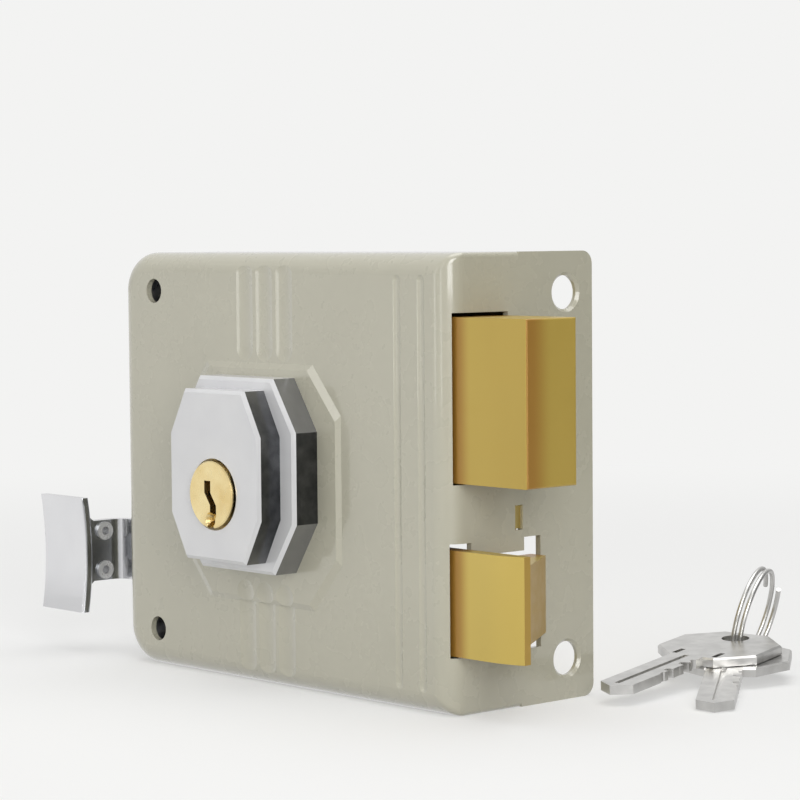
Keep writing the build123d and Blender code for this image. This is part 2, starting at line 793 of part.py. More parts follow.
def make_guard():
    """Two-step cast guard round the cylinder, hollow from the back."""
    foot_y = (y_front - guard_depth, y_front - pad_height)
    lower = octagon(guard_half_width, guard_half_height, guard_cut_width, guard_cut_height, guard_z)
    foot = prism_y(lower, foot_y)
    foot = chamfer(foot.faces().sort_by(Axis.Y)[0].edges(), guard_chamfer)
    top_y = (guard_front, foot_y[0] + wall)
    upper = octagon(top_half_width, top_half_height, top_cut_width, top_cut_height, guard_z)
    top = prism_y(upper, top_y)
    top = chamfer(top.faces().sort_by(Axis.Y)[0].edges(), guard_chamfer)
    guard = foot + top
    guard -= cylinder_shape(bolt_gap, (housing_y[0] - running_fit, y_front + wall))
    guard -= rod_y(0, 0, plug_head_radius + guard_hole_gap, (guard_front - wall, housing_y[0] + wall))
    for side in (-1, 1):
        x = side * guard_screw_spread
        guard -= rod_y(x, guard_z, guard_screw_radius, (guard_screw_tip - guide_gap, y_front + wall))
    return guard


def make_guard_screws():
    """Screws from inside the case that hold the cylinder and its guard."""
    screws = []
    slot_half = guard_screw_radius * screw_slot_share / 2
    for side in (-1, 1):
        x = side * guard_screw_spread
        screw = rod_y(x, guard_z, guard_screw_radius, (guard_screw_tip, screw_seat))
        screw += rod_y(x, guard_z, guard_screw_head, (screw_seat, screw_seat + guard_screw_radius))
        slot_x = (x - guard_screw_head, x + guard_screw_head)
        slot_y = (screw_seat + guard_screw_radius / 2, screw_seat + guard_screw_radius + overrun)
        screws.append(screw - block(slot_x, slot_y, (guard_z - slot_half, guard_z + slot_half)))
    return Compound(children=screws)


def pin_places():
    """Distances along Y of the pins of the cylinder."""
    return [housing_y[0] + pin_first + index * pin_pitch for index in range(pin_count)]


def make_housing():
    """Brass cylinder body with the pin chimney and two fixing ears."""
    body = cylinder_shape(0, housing_y)
    ear_z = (guard_z - ear_half_height, guard_z + ear_half_height)
    body += block((-ear_half_width, ear_half_width), (y_inner, screw_seat), ear_z)
    body -= rod_y(0, 0, plug_radius + running_fit, (housing_y[0] - wall, housing_y[1] + wall))
    for y in pin_places():
        body -= rod_z(0, y, chamber_radius, (0, chimney_top))
    cover_x = (-2 * chamber_radius, 2 * chamber_radius)
    cover_z = (chimney_top - cover_strip_thick, chimney_top + wall)
    body -= block(cover_x, (housing_y[0] - wall, housing_y[1] + wall), cover_z)
    for side in (-1, 1):
        x = side * guard_screw_spread
        body -= rod_y(x, guard_z, guard_screw_radius + guide_gap, (y_inner - wall, screw_seat + wall))
    return body


def make_pin_cover():
    """Strip that closes the pin chambers."""
    x = (-2 * chamber_radius, 2 * chamber_radius)
    return block(x, housing_y, (chimney_top - cover_strip_thick, chimney_top))


def key_slot():
    """Winding outline of the key slot, open at the bottom, as (x, z) points."""
    half = key_slot_width / 2
    sides = [share * key_slot_width for share in key_slot_side_shares]
    heights = [share * key_slot_top for share in key_slot_height_shares]
    centres = list(zip(sides, heights)) + [(0, -plug_head_radius - overrun)]
    left = [(x - half, z) for x, z in centres]
    right = [(x + half, z) for x, z in reversed(centres)]
    return left + right


def make_plug():
    """Brass plug that the key turns."""
    plug = rod_y(0, 0, plug_head_radius, (plug_face, head_back))
    plug = chamfer(plug.edges().group_by(Axis.Y)[0], plug_chamfer)
    plug += rod_y(0, 0, plug_radius, (head_back, plug_back))
    plug -= prism_y(key_slot(), (plug_face - wall, housing_y[1] - wall))
    mouth = Pos(0, plug_face, -plug_head_radius * mouth_place_share) * Rot(90, 0, 0)
    small = plug_head_radius * mouth_small_share
    plug -= mouth * Cone(small, plug_head_radius * mouth_large_share, plug_head_length)
    for y in pin_places():
        plug -= rod_z(0, y, chamber_radius, (0, plug_radius + wall))
    ring = rod_y(0, 0, plug_radius + wall, (housing_y[1], housing_y[1] + clip_thick))
    plug -= ring - rod_y(0, 0, plug_radius - clip_groove, (housing_y[1] - wall, plug_back))
    for x in dog_places():
        plug -= rod_y(x, 0, dog_radius, (plug_back - dog_length, plug_back + wall))
    return plug


def dog_places():
    """Places of the two dogs that key the pinion to the plug."""
    return [-dog_spread, dog_spread]


def make_plug_clip():
    """Snap ring that keeps the plug in its housing."""
    y = (housing_y[1], housing_y[1] + clip_thick)
    ring = rod_y(0, 0, clip_radius, y)
    ring -= rod_y(0, 0, plug_radius - clip_groove, (y[0] - wall, y[1] + wall))
    gap = block((-clip_thick, clip_thick), (y[0] - wall, y[1] + wall), (-clip_radius, 0))
    return ring - gap


def make_key_pins():
    """Lower pins, up at the shear line as a key would hold them."""
    pins = []
    for index, y in enumerate(pin_places()):
        low = plug_radius * key_cut_shares[index]
        pins.append(rod_z(0, y, chamber_radius - pin_gap, (low, plug_radius - pin_gap)))
    return Compound(children=pins)


def make_driver_pins():
    """Upper pins in the chimney."""
    low = plug_radius + running_fit + pin_gap
    pins = [rod_z(0, y, chamber_radius - pin_gap, (low, low + driver_length)) for y in pin_places()]
    return Compound(children=pins)


def make_pin_springs():
    """Small coils between the upper pins and their cover."""
    low = plug_radius + running_fit + 2 * pin_gap + driver_length
    high = chimney_top - cover_strip_thick - pin_gap
    coil = coil_along_x((low, high), 0, 0, pin_spring_radius, pin_spring_wire, pin_spring_turns)
    return Compound(children=[Pos(0, y, 0) * Rot(0, -90, 0) * coil for y in pin_places()])


def make_pinion():
    """Pinion that the plug turns, with a slotted hub for the outer cylinder's tail."""
    root = pitch_radius - tooth_root_share * tooth_module
    tip = pitch_radius + tooth_module - tooth_gap
    foot_half = (tooth_flank_share * math.pi * tooth_module + tooth_gap) / 2
    tip_half = foot_half * tooth_tip_share
    points = []
    for index in range(tooth_count):
        angle = 2 * math.pi * index / tooth_count
        for radius, reach in ((root, -foot_half), (tip, -tip_half), (tip, tip_half), (root, foot_half)):
            turn = angle + reach / radius
            points.append((radius * math.sin(turn), radius * math.cos(turn)))
    gear = prism_y(points, pinion_y)
    flange_y = (plug_back + slide_gap, plug_back + slide_gap + clip_thick)
    gear += rod_y(0, 0, plug_radius - wall, flange_y)
    gear += rod_y(0, 0, root, (flange_y[0], pinion_y[0] + wall))
    for x in dog_places():
        gear += rod_y(x, 0, dog_radius - running_fit, (plug_back - dog_length + slide_gap, flange_y[1]))
    hub = rod_y(0, 0, pinion_hub_radius, (pinion_y[1], plate_front - guide_gap))
    narrow = (-tail_slot_width / 2, tail_slot_width / 2)
    tall = (-tail_slot_length / 2, tail_slot_length / 2)
    slot_y = (pinion_y[1] + wall, overrun)
    return gear + hub - block(narrow, slot_y, tall) - block(tall, slot_y, narrow)


def detent_eye():
    """Place of the post that the leaf spring hangs on."""
    z = tail_top + detent_gap + post_bore + running_fit + detent_thick
    return detent_x + detent_arm, z


def make_detent_spring():
    """Leaf spring over the deadbolt tail, bent round its post."""
    x, z = detent_eye()
    low = tail_top + detent_gap
    eye = post_bore + running_fit
    leaf = block((detent_x - detent_reach, x), tail_y, (low, low + detent_thick))
    leaf += rod_y(x, z, eye + detent_thick, tail_y)
    return leaf - rod_y(x, z, eye, (tail_y[0] - wall, tail_y[1] + wall))


def make_detent_post():
    """Pin that the leaf spring hangs on."""
    x, z = detent_eye()
    pin = rod_y(x, z, post_bore, (tail_y[0] - wall, plate_front))
    return pin + rod_y(x, z, post_bore + guide_post_rim, (tail_y[1] + guide_gap, plate_front))


def key_shape():
    """Flat key with its ring hole at the origin and its blade along +X."""
    centre = key_bow / 2 - key_hole_inset
    half = key_bow / 2
    cut = half * key_bow_cut_share
    bow = [(centre + x, y) for x, y in octagon(half, half, cut, cut, 0)]
    key = prism_z(bow, (0, key_thick))
    key = chamfer(key.faces().sort_by(Axis.Z)[-1].edges(), key_chamfer)
    shoulder = centre + half
    tip = shoulder + key_blade
    top = key_slot_top - guide_gap
    low = top - key_blade_height
    middle = (top + low) / 2
    outline = [(centre, low), (tip - top, low), (tip, middle), (tip - top, top), (centre, top)]
    key += prism_z(outline, (0, key_thick))
    through = (-wall, key_thick + wall)
    for index in range(pin_count):
        x = shoulder + pin_first + index * pin_pitch
        bottom = plug_radius * key_cut_shares[index] - guide_gap
        notch = [(x - key_cut_flat, bottom), (x + key_cut_flat, bottom)]
        notch += [(x + pin_pitch / 2, top + wall), (x - pin_pitch / 2, top + wall)]
        key -= prism_z(notch, through)
    groove_z = (key_thick - key_groove, key_thick + wall)
    key -= block((shoulder - key_groove, tip - top), (middle - key_groove, middle + key_groove), groove_z)
    for side in (-1, 1):
        y = side * key_blade_height * key_wing_share
        wing = (shoulder - key_hole_inset, shoulder - wall)
        key -= block(wing, (y - key_groove, y + key_groove), through)
    return key - rod_z(0, 0, key_hole_radius, through)


def key_directions():
    """Level direction of the keys and the sideways one, as unit vectors."""
    turn = math.radians(key_heading)
    along = Vector(math.cos(turn), math.sin(turn), 0)
    return along, Vector(0, 0, 1).cross(along)


def ring_frame():
    """Plane whose X is the ring's axis and whose -Y points from its centre to the key holes."""
    along, side = key_directions()
    lean = math.radians(ring_lean)
    drop = math.radians(ring_hole_angle)
    rise = side * math.cos(lean) + Vector(0, 0, 1) * math.sin(lean)
    axis = along.cross(rise)
    to_hole = along * math.cos(drop) + rise * math.sin(drop)
    depth = ring_radius * math.sin(lean) + ring_pitch * math.cos(lean) + ring_wire / 2
    centre_z = z_bottom + depth + key_floor_gap
    hole = Vector(key_place[0], key_place[1], centre_z + ring_radius * math.sin(drop) * math.sin(lean))
    centre = hole - to_hole * ring_radius
    return Plane(origin=centre, x_dir=axis, z_dir=axis.cross(-to_hole)), hole


def make_key(index):
    """One of the two keys, lying with its tip down and its bow up on the ring."""
    along, side = key_directions()
    hole = ring_frame()[1]
    length = key_bow - key_hole_inset + key_blade
    stack = key_thick + pin_gap
    tilt = math.asin((hole.Z - z_bottom - stack - key_floor_gap) / length)
    across = along * math.cos(tilt) - Vector(0, 0, 1) * math.sin(tilt)
    upright = along * math.sin(tilt) + Vector(0, 0, 1) * math.cos(tilt)
    fan = key_fan if index == 0 else -key_fan
    lift = -stack if index == 0 else pin_gap
    place = Plane(origin=hole, x_dir=across, z_dir=upright)
    return place * (Pos(0, 0, lift) * Rot(0, 0, fan) * key_shape())


def make_key_ring():
    """Split ring of two turns that both keys hang on."""
    half = ring_pitch + ring_wire / 2
    return ring_frame()[0] * coil_along_x((-half, half), 0, 0, ring_radius, ring_wire, 2)


def main():
    os.makedirs("parts", exist_ok=True)
    save(make_cover(), "cover_shell")
    save(make_back_plate(), "back_plate")
    save(make_screw_tubes(), "screw_tubes")
    save(make_posts(), "case_posts")
    save(make_plate_screws(), "back_plate_screws")
    save(make_guide_post(), "tail_guide_post")
    save(make_deadbolt_head(), "deadbolt_head")
    save(make_deadbolt_tail(), "deadbolt_tail")
    save(make_tail_rivets(), "deadbolt_rivets")
    save(make_detent_spring(), "detent_leaf_spring")
    save(make_detent_post(), "detent_post")
    save(make_latch_head(), "latch_head")
    save(make_latch_strip(), "latch_strip")
    save(make_latch_rivets(), "latch_rivets")
    save(make_pull_arm(), "pull_arm")
    save(make_pull_grip(), "pull_grip")
    save(make_handle_rivets(), "pull_rivets")
    save(make_spring_anchor(), "latch_spring_anchor")
    save(make_latch_spring(), "latch_spring")
    save(make_guard(), "cylinder_guard")
    save(make_guard_screws(), "guard_screws")
    save(make_housing(), "cylinder_housing")
    save(make_pin_cover(), "pin_cover")
    save(make_plug(), "cylinder_plug")
    save(make_plug_clip(), "plug_clip")
    save(make_key_pins(), "key_pins")
    save(make_driver_pins(), "driver_pins")
    save(make_pin_springs(), "pin_springs")
    save(make_pinion(), "drive_pinion")
    save(make_key(0), "key_lower")
    save(make_key(1), "key_upper")
    save(make_key_ring(), "key_ring")


main()
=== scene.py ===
import json
import math
import bpy
from mathutils import Matrix, Vector


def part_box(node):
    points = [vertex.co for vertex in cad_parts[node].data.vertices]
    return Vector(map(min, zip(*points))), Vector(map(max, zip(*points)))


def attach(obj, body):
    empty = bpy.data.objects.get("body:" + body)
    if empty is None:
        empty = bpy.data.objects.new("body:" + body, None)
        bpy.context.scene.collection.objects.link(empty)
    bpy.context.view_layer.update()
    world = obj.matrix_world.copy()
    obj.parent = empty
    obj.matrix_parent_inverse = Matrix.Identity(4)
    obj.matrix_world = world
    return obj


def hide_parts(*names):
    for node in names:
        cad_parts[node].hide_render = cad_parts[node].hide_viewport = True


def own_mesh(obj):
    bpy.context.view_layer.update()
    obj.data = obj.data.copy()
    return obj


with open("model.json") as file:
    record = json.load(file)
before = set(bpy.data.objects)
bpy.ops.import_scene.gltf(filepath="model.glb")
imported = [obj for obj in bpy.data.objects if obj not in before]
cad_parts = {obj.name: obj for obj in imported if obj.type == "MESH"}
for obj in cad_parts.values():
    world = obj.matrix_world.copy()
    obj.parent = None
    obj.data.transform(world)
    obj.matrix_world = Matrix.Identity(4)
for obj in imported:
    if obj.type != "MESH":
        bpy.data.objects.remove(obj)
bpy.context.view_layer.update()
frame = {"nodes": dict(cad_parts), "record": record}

nodes = frame["nodes"]

# Sizes in metres
MM = 0.001
FLOOR_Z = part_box("cover_shell")[0].z
LOCK_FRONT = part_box("screw_tubes")[0].y
LOCK_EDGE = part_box("cover_shell")[1].x

# Camera of the photograph
IMAGE_SIZE = 800
SENSOR = 36.0
FOCAL_PIXELS = 2727.95
CAMERA_PLACE = Vector((461.4, -399.8, 56.4)) * MM
CAMERA_YAW = math.radians(47.737)
CAMERA_PITCH = math.radians(3.540)
CAMERA_ROLL = math.radians(-0.490)
CAMERA_NEAREST = 10 * MM

# Colours as they show in the photograph, 0 to 255
PALE = (243, 243, 242)
FLOOR_NEAR = (245, 245, 244)
FLOOR_BOUNCE = (200, 200, 197)
PAINT_LIGHT = (184, 181, 163)
PAINT_DARK = (181, 178, 160)
GOLD_LIGHT = (190, 163, 78)
GOLD_DARK = (181, 153, 70)
# Painted shade for the gold at its root and on its end
GOLD_PAINTED_SHADE = (166, 123, 52)
LATCH_LIGHT = (206, 181, 94)
LATCH_DARK = (197, 171, 85)
BRASS_LIGHT = (240, 222, 170)
BRASS_DARK = (224, 198, 138)
ZINC_YELLOW = (208, 188, 122)
ZINC_GREEN = (200, 186, 124)
ZINC_GOLD = (216, 192, 120)
ZINC_LIGHT = (205, 206, 208)
ZINC_DARK = (160, 162, 166)
STEEL_LIGHT = (176, 178, 180)
STEEL_DARK = (128, 130, 133)
CHROME_LIGHT = (221, 221, 222)
CHROME_DARK = (215, 215, 217)
# Painted dark reflection for the guard's faces that look along X
PAINTED_SIDE_REFLECTION_LIGHT = (90, 91, 93)
PAINTED_SIDE_REFLECTION_DARK = (62, 63, 65)
NICKEL_LIGHT = (216, 215, 212)
NICKEL_DARK = (196, 195, 192)

# Values between which a noise texture mostly lies, and the stops of the yellow zinc
NOISE_SPAN = (0.3, 0.7)
ZINC_STOPS = [(0.25, ZINC_GREEN), (0.5, ZINC_YELLOW), (0.75, ZINC_GOLD)]

# Painted shade on the gold: darker at the root along X, on the bolt's end along Y, on the latch's end all over
ROOT_SHADE = (LOCK_EDGE, LOCK_EDGE + 4 * MM)
END_SHADE = (LOCK_FRONT + 2.5 * MM, LOCK_FRONT + 8.5 * MM)
END_FACING = 0.5
LATCH_END_SHADE = 0.6

# How far a face looks along X where a painted dark reflection darkens its plating, and how metallic the guard
# is on its front and sides
SIDE_SPAN = (0.62, 0.98)
GUARD_METALLIC = (0.15, 1.0)

# Rounding of sharp edges
EDGE_WIDTHS = {
    "deadbolt_head": 0.25 * MM,
    "latch_head": 0.25 * MM,
    "pull_grip": 0.25 * MM,
    "cylinder_guard": 0.4 * MM,
}
EDGE_SEGMENTS = 2
EDGE_ANGLE = math.radians(32)
WELD_GAP = 0.002 * MM
NORMAL_WEIGHT = 60

# Lights: name, place, size, power in watts, and whether reflections show it
LIGHT_TARGET = Vector((0.0, -0.01, 0.0))
LIGHTS = [
    ("right_panel", (0.90, -0.50, 0.35), (0.5, 0.7), 6.0, True),
    ("top", (0.05, 0.12, 0.80), (0.8, 0.8), 4.2, True),
    ("left_panel", (-0.45, -0.42, 0.20), (0.5, 0.5), 0.45, False),
    ("left_strip", (-0.34, -0.94, 0.08), (0.10, 1.0), 0.7, True),
    ("front_strip", (0.26, -0.96, 0.08), (0.10, 1.0), 0.7, True),
]

# Surroundings: the strength falls over a span of places towards the dark side of the studio
DARK_SIDE = (0.74, 0.67, 0.0)
WORLD_TURN = math.radians(-42)
WORLD_SPAN = (-0.95, 0.55)
WORLD_STRENGTHS = (0.70, 0.20)
WORLD_MIRRORED_SPAN = (0.10, 1.15)
FLOOR_MIRRORED_SPAN = (-0.20, 0.75)
MIRRORED_STRENGTHS = (1.0, 0.14)

# Floor: half its width, and where and from what share it fades into the backdrop
FLOOR_REACH = 6.0
FLOOR_FADE_SPAN = (0.10, 0.55)
FLOOR_FADE_SHARES = (0.45, 1.0)


def linear(colour):
    """Colour of 0 to 255 values as linear light with full alpha."""
    shares = [value / 255 for value in colour]
    return [s / 12.92 if s <= 0.04045 else ((s + 0.055) / 1.055) ** 2.4 for s in shares] + [1.0]


class Tree:
    """Adds nodes to a node tree and joins them."""

    def __init__(self, tree):
        self.tree = tree

    def node(self, kind, **values):
        made = self.tree.nodes.new(kind)
        for key, value in values.items():
            setattr(made, key, value)
        return made

    def link(self, source, target):
        self.tree.links.new(source, target)

    def map_range(self, value, span, results, smooth=False):
        """Goes from the first result to the second as a value crosses a span."""
        made = self.node("ShaderNodeMapRange", interpolation_type="SMOOTHSTEP" if smooth else "LINEAR")
        for name, number in zip(("From Min", "From Max", "To Min", "To Max"), (*span, *results)):
            made.inputs[name].default_value = number
        self.link(value, made.inputs["Value"])
        return made.outputs["Result"]

    def choose_shader(self, share, first, second):
        """Goes from the first shader to the second with a share."""
        mixed = self.node("ShaderNodeMixShader")
        self.link(share, mixed.inputs["Fac"])
        self.link(first, mixed.inputs[1])
        self.link(second, mixed.inputs[2])
        return mixed.outputs["Shader"]


class Maker(Tree):
    """Builds one material step by step."""

    def __init__(self, name):
        self.material = bpy.data.materials.new(name)
        self.material.use_nodes = True
        super().__init__(self.material.node_tree)
        self.shader = self.tree.nodes["Principled BSDF"]

    def noise(self, scale, detail, stretch=(1, 1, 1), distortion=0.0):
        """Noise texture with so many cells a metre, stretched along some axes."""
        coordinates = self.node("ShaderNodeTexCoord")
        mapping = self.node("ShaderNodeMapping")
        texture = self.node("ShaderNodeTexNoise")
        mapping.inputs["Scale"].default_value = stretch
        texture.inputs["Scale"].default_value = scale
        texture.inputs["Detail"].default_value = detail
        texture.inputs["Distortion"].default_value = distortion
        self.link(coordinates.outputs["Object"], mapping.inputs["Vector"])
        self.link(mapping.outputs["Vector"], texture.inputs["Vector"])
        return texture.outputs["Fac"]

    def along(self, kind, axis):
        """One axis of the object coordinates or of the normal."""
        coordinates = self.node("ShaderNodeTexCoord")
        split = self.node("ShaderNodeSeparateXYZ")
        self.link(coordinates.outputs[kind], split.inputs["Vector"])
        return split.outputs[axis]

    def ramp(self, source, stops):
        """Colour ramp from (place, colour) stops."""
        ramp = self.node("ShaderNodeValToRGB")
        elements = ramp.color_ramp.elements
        while len(elements) < len(stops):
            elements.new(0.5)
        for element, (place, colour) in zip(elements, stops):
            element.position = place
            element.color = linear(colour)
        self.link(source, ramp.inputs["Fac"])
        return ramp.outputs["Color"]

    def cloud(self, noise, dark, light):
        """Two colours, mixed by a noise texture."""
        return self.ramp(noise, list(zip(NOISE_SPAN, (dark, light))))

    def colour(self, noise, dark, light):
        self.link(self.cloud(noise, dark, light), self.shader.inputs["Base Color"])

    def sides(self, front, side):
        """Colours the faces that look along X apart from the rest, with a painted darker reflection, and
        returns the share that tells them.
        """
        size = self.node("ShaderNodeMath", operation="ABSOLUTE")
        self.link(self.along("Normal", "X"), size.inputs[0])
        share = self.map_range(size.outputs["Value"], SIDE_SPAN, (0.0, 1.0), smooth=True)
        mixed = self.node("ShaderNodeMix", data_type="RGBA")
        self.link(share, mixed.inputs["Factor"])
        self.link(front, mixed.inputs["A"])
        self.link(side, mixed.inputs["B"])
        self.link(mixed.outputs["Result"], self.shader.inputs["Base Color"])
        return share

    def roughness(self, noise, low, high):
        self.link(self.map_range(noise, NOISE_SPAN, (low, high)), self.shader.inputs["Roughness"])

    def bump(self, noise, depth):
        """Relief of a noise texture, with its depth in millimetres."""
        bump = self.node("ShaderNodeBump")
        bump.inputs["Distance"].default_value = depth * MM
        bump.inputs["Strength"].default_value = 1.0
        self.link(noise, bump.inputs["Height"])
        self.link(bump.outputs["Normal"], self.shader.inputs["Normal"])

    def constants(self, **values):
        for key, value in values.items():
            self.shader.inputs[key.replace("_", " ")].default_value = value


def case_paint():
    """Glossy stoved paint."""
    m = Maker("case_paint")
    m.colour(m.noise(scale=45, detail=3), PAINT_DARK, PAINT_LIGHT)
    m.roughness(m.noise(scale=160, detail=3), low=0.26, high=0.29)
    m.constants(Metallic=0.0, Coat_Weight=1.0, Coat_Roughness=0.05, Coat_IOR=1.5, IOR=1.5)
    return m.material


def satin_gold(name, dark, light, end_shade=None):
    """Satin gold-lacquered brass, with painted shade at its root. Its end gets painted shade by a share, or
    else towards the lock's front.
    """
    m = Maker(name)
    grain = m.noise(scale=260, detail=3, stretch=(0.12, 1, 1))
    cloud = m.cloud(m.noise(scale=42, detail=2, stretch=(1, 1, 0.3)), dark, light)
    # Painted shade near the root, beside the lock's edge, and on the end face
    root = m.map_range(m.along("Object", "X"), ROOT_SHADE, (1.0, 0.0), smooth=True)
    is_end = m.node("ShaderNodeMath", operation="GREATER_THAN")
    is_end.inputs[1].default_value = END_FACING
    m.link(m.along("Normal", "X"), is_end.inputs[0])
    shade = m.node("ShaderNodeMix")
    m.link(is_end.outputs["Value"], shade.inputs["Factor"])
    m.link(root, shade.inputs["A"])
    if end_shade is None:
        end = m.map_range(m.along("Object", "Y"), END_SHADE, (1.0, 0.0), smooth=True)
        m.link(end, shade.inputs["B"])
    else:
        shade.inputs["B"].default_value = end_shade
    painted_shade = m.node("ShaderNodeMix", data_type="RGBA")
    painted_shade.inputs["B"].default_value = linear(GOLD_PAINTED_SHADE)
    m.link(shade.outputs["Result"], painted_shade.inputs["Factor"])
    m.link(cloud, painted_shade.inputs["A"])
    m.link(painted_shade.outputs["Result"], m.shader.inputs["Base Color"])
    m.roughness(grain, low=0.30, high=0.40)
    m.bump(grain, depth=0.010)
    m.constants(Metallic=0.25)
    return m.material


def cast_chrome():
    """Die-cast metal with uneven plating, and a painted dark reflection on its mirror-like sides."""
    m = Maker("guard_chrome")
    front = m.cloud(m.noise(scale=90, detail=2), CHROME_DARK, CHROME_LIGHT)
    # Painted dark reflection on the faces that look along X
    side = m.cloud(m.noise(scale=330, detail=6), PAINTED_SIDE_REFLECTION_DARK, PAINTED_SIDE_REFLECTION_LIGHT)
    share = m.sides(front, side)
    m.link(m.map_range(share, (0.0, 1.0), GUARD_METALLIC), m.shader.inputs["Metallic"])
    m.roughness(m.noise(scale=420, detail=5), low=0.20, high=0.24)
    m.bump(m.noise(scale=520, detail=4), depth=0.003)
    return m.material


def grip_chrome():
    """Smooth plated grip and arm, with a painted darker reflection on the faces that look along X."""
    m = Maker("grip_chrome")
    front = m.cloud(m.noise(scale=60, detail=3), CHROME_DARK, CHROME_LIGHT)
    # Painted darker reflection on the faces that look along X, in the steel colours
    side = m.cloud(m.noise(scale=90, detail=3), STEEL_DARK, STEEL_LIGHT)
    m.sides(front, side)
    m.roughness(m.noise(scale=200, detail=4), low=0.16, high=0.22)
    m.bump(m.noise(scale=300, detail=3), depth=0.003)
    m.constants(Metallic=1.0)
    return m.material


def cylinder_brass():
    """Polished brass of the cylinder."""
    m = Maker("cylinder_brass")
    m.colour(m.noise(scale=180, detail=4), BRASS_DARK, BRASS_LIGHT)
    m.roughness(m.noise(scale=400, detail=4), low=0.20, high=0.32)
    m.bump(m.noise(scale=900, detail=3), depth=0.006)
    m.constants(Metallic=1.0)
    return m.material


def yellow_zinc():
    """Yellow passivated zinc plate."""
    m = Maker("zinc_yellow")
    cloud = m.noise(scale=26, detail=2, distortion=0.3)
    m.link(m.ramp(cloud, ZINC_STOPS), m.shader.inputs["Base Color"])
    m.roughness(m.noise(scale=220, detail=4), low=0.30, high=0.44)
    m.bump(m.noise(scale=500, detail=3), depth=0.008)
    m.constants(Metallic=1.0)
    return m.material


def plated_steel(name, dark, light, low, high):
    """Plated or bare steel with a drawn grain along X."""
    m = Maker(name)
    grain = m.noise(scale=500, detail=3, stretch=(0.08, 1, 1))
    m.colour(m.noise(scale=120, detail=4), dark, light)
    m.roughness(grain, low, high)
    m.bump(grain, depth=0.006)
    m.constants(Metallic=1.0)
    return m.material


def key_nickel():
    """Nickel-plated keys, worn by use."""
    m = Maker("key_nickel")
    m.colour(m.noise(scale=300, detail=5), NICKEL_DARK, NICKEL_LIGHT)
    m.roughness(m.noise(scale=500, detail=5), low=0.28, high=0.36)
    m.bump(m.noise(scale=700, detail=4), depth=0.007)
    m.constants(Metallic=1.0)
    return m.material


def rivet_zinc():
    """Bright zinc of the tubular rivets."""
    m = Maker("rivet_zinc")
    m.colour(m.noise(scale=300, detail=3), ZINC_LIGHT, CHROME_LIGHT)
    m.roughness(m.noise(scale=500, detail=3), low=0.24, high=0.32)
    m.constants(Metallic=0.5)
    return m.material


def dress_nodes():
    """Gives each node the material of its slot, and two nodes one of their own."""
    finishes = {
        "case_paint": case_paint(),
        "bolt_brass": satin_gold("bolt_gold", GOLD_DARK, GOLD_LIGHT),
        "guard_chrome": cast_chrome(),
        "grip_chrome": grip_chrome(),
        "cylinder_brass": cylinder_brass(),
        "zinc_yellow": yellow_zinc(),
        "zinc_steel": plated_steel("zinc_steel", ZINC_DARK, ZINC_LIGHT, low=0.26, high=0.40),
        "bare_steel": plated_steel("bare_steel", STEEL_DARK, STEEL_LIGHT, low=0.30, high=0.46),
        "spring_steel": plated_steel("spring_steel", STEEL_DARK, ZINC_DARK, low=0.24, high=0.36),
        "key_nickel": key_nickel(),
    }
    for part in frame["record"]["subparts"]:
        materials = nodes[part["node"]].data.materials
        materials.clear()
        materials.append(finishes[part["material_slot"]])
    # The latch's end gets a fixed share of painted shade
    latch_gold = satin_gold("latch_gold", LATCH_DARK, LATCH_LIGHT, LATCH_END_SHADE)
    nodes["latch_head"].data.materials[0] = latch_gold
    nodes["pull_rivets"].data.materials[0] = rivet_zinc()


def close_latch_spring():
    """Copy of the latch spring, attached to the case, in place of the hidden part."""
    coil = bpy.data.objects.new("latch_spring_coil", nodes["latch_spring"].data.copy())
    bpy.context.scene.collection.objects.link(coil)
    coil.matrix_world = nodes["latch_spring"].matrix_world.copy()
    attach(coil, "case")
    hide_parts("latch_spring")
    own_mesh(coil)


def soften(node, width):
    """Rounds the sharp edges of a node by a small width."""
    weld = node.modifiers.new("weld", "WELD")
    weld.merge_threshold = WELD_GAP
    bevel = node.modifiers.new("bevel", "BEVEL")
    bevel.width = width
    bevel.segments = EDGE_SEGMENTS
    bevel.limit_method = "ANGLE"
    bevel.angle_limit = EDGE_ANGLE
    bevel.miter_outer = "MITER_ARC"
    normals = node.modifiers.new("normals", "WEIGHTED_NORMAL")
    normals.weight = NORMAL_WEIGHT


def set_camera():
    """Camera at the photograph's place and angle."""
    data = bpy.data.cameras.new("camera")
    data.sensor_width = SENSOR
    data.lens = FOCAL_PIXELS / IMAGE_SIZE * SENSOR
    data.clip_start = CAMERA_NEAREST
    camera = bpy.data.objects.new("camera", data)
    bpy.context.scene.collection.objects.link(camera)
    across = Vector((math.cos(CAMERA_YAW), math.sin(CAMERA_YAW), 0))
    level = Vector((-math.sin(CAMERA_YAW), math.cos(CAMERA_YAW), 0))
    forward = level * math.cos(CAMERA_PITCH) - Vector((0, 0, math.sin(CAMERA_PITCH)))
    down = -level * math.sin(CAMERA_PITCH) - Vector((0, 0, math.cos(CAMERA_PITCH)))
    turned_right = across * math.cos(CAMERA_ROLL) - down * math.sin(CAMERA_ROLL)
    turned_down = across * math.sin(CAMERA_ROLL) + down * math.cos(CAMERA_ROLL)
    columns = Matrix((turned_right, -turned_down, -forward)).transposed().to_4x4()
    camera.matrix_world = Matrix.Translation(CAMERA_PLACE) @ columns
    bpy.context.scene.camera = camera


def set_lights():
    """Soft rectangular lights that look at the lock."""
    for name, place, size, power, in_reflections in LIGHTS:
        data = bpy.data.lights.new(name, "AREA")
        data.shape = "RECTANGLE"
        data.size, data.size_y = size
        data.energy = power
        light = bpy.data.objects.new(name, data)
        bpy.context.scene.collection.objects.link(light)
        aim = (LIGHT_TARGET - Vector(place)).to_track_quat("-Z", "Y")
        light.matrix_world = Matrix.Translation(place) @ aim.to_matrix().to_4x4()
        light.visible_camera = False
        light.visible_glossy = in_reflections


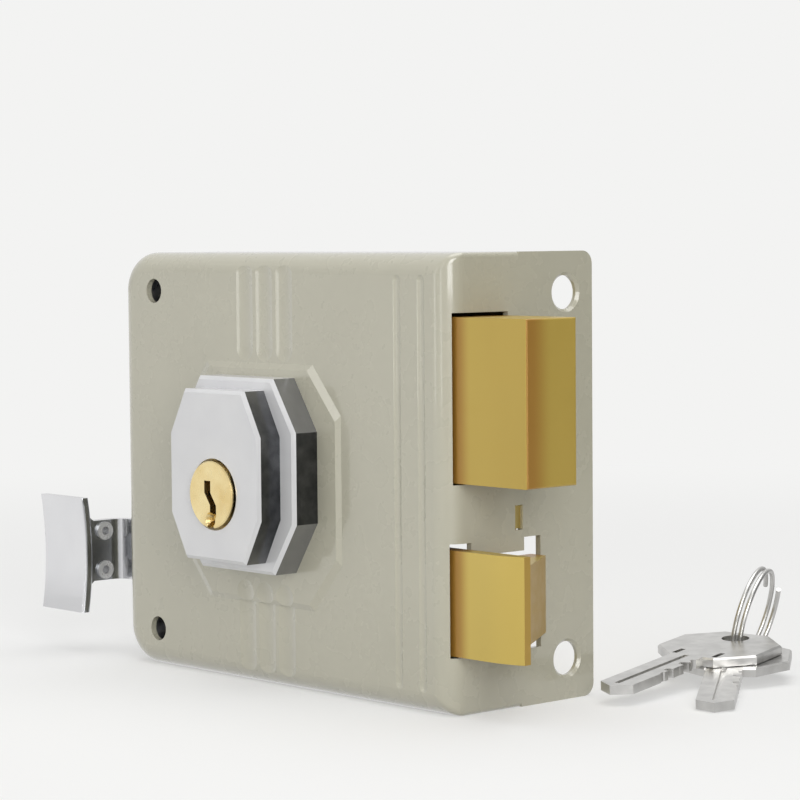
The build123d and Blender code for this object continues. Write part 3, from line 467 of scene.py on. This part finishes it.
def set_world():
    """Grey surroundings, seen pale by the camera and darker at one side in reflections."""
    world = bpy.data.worlds.new("studio")
    bpy.context.scene.world = world
    world.use_nodes = True
    t = Tree(world.node_tree)
    t.tree.nodes.clear()
    rays = t.node("ShaderNodeLightPath").outputs
    coordinates = t.node("ShaderNodeTexCoord")
    turn = t.node("ShaderNodeMapping")
    turn.inputs["Rotation"].default_value = (0, 0, WORLD_TURN)
    split = t.node("ShaderNodeSeparateXYZ")
    t.link(coordinates.outputs["Generated"], turn.inputs["Vector"])
    t.link(turn.outputs["Vector"], split.inputs["Vector"])
    lit = t.map_range(split.outputs["X"], WORLD_SPAN, WORLD_STRENGTHS, smooth=True)
    mirrored = t.map_range(split.outputs["X"], WORLD_MIRRORED_SPAN, MIRRORED_STRENGTHS, smooth=True)
    strength = t.node("ShaderNodeMix")
    t.link(rays["Is Glossy Ray"], strength.inputs["Factor"])
    t.link(lit, strength.inputs["A"])
    t.link(mirrored, strength.inputs["B"])
    around = t.node("ShaderNodeBackground")
    t.link(strength.outputs["Result"], around.inputs["Strength"])
    seen = t.node("ShaderNodeBackground")
    seen.inputs["Color"].default_value = linear(PALE)
    backdrop = t.choose_shader(rays["Is Camera Ray"], around.outputs["Background"], seen.outputs["Background"])
    t.link(backdrop, t.node("ShaderNodeOutputWorld").inputs["Surface"])


def floor_material():
    """Pale floor that fades into the backdrop, with its own shades for reflections and for bounced light."""
    material = bpy.data.materials.new("floor")
    material.use_nodes = True
    t = Tree(material.node_tree)
    t.tree.nodes.clear()
    rays = t.node("ShaderNodeLightPath").outputs
    place = t.node("ShaderNodeNewGeometry").outputs["Position"]

    matt = t.node("ShaderNodeBsdfDiffuse")
    matt.inputs["Color"].default_value = linear(FLOOR_BOUNCE)
    towards_dark = t.node("ShaderNodeVectorMath", operation="DOT_PRODUCT")
    towards_dark.inputs[1].default_value = DARK_SIDE
    t.link(place, towards_dark.inputs[0])
    mirrored = t.node("ShaderNodeEmission")
    strength = t.map_range(towards_dark.outputs["Value"], FLOOR_MIRRORED_SPAN, MIRRORED_STRENGTHS)
    t.link(strength, mirrored.inputs["Strength"])
    unseen = t.choose_shader(rays["Is Glossy Ray"], matt.outputs["BSDF"], mirrored.outputs["Emission"])

    near = t.node("ShaderNodeBsdfDiffuse")
    near.inputs["Color"].default_value = linear(FLOOR_NEAR)
    far = t.node("ShaderNodeEmission")
    far.inputs["Color"].default_value = linear(PALE)
    distance = t.node("ShaderNodeVectorMath", operation="LENGTH")
    t.link(place, distance.inputs[0])
    share = t.map_range(distance.outputs["Value"], FLOOR_FADE_SPAN, FLOOR_FADE_SHARES, smooth=True)
    seen = t.choose_shader(share, near.outputs["BSDF"], far.outputs["Emission"])

    surface = t.choose_shader(rays["Is Camera Ray"], unseen, seen)
    t.link(surface, t.node("ShaderNodeOutputMaterial").inputs["Surface"])
    return material


def set_floor():
    """Flat floor under the lock."""
    mesh = bpy.data.meshes.new("floor")
    corners = [(x * FLOOR_REACH, y * FLOOR_REACH, FLOOR_Z) for x, y in ((-1, -1), (1, -1), (1, 1), (-1, 1))]
    mesh.from_pydata(corners, [], [(0, 1, 2, 3)])
    mesh.materials.append(floor_material())
    floor = bpy.data.objects.new("floor", mesh)
    bpy.context.scene.collection.objects.link(floor)


dress_nodes()
close_latch_spring()
for name, width in EDGE_WIDTHS.items():
    soften(nodes[name], width)
set_camera()
set_lights()
set_world()
set_floor()
bpy.context.scene.view_settings.view_transform = "Standard"
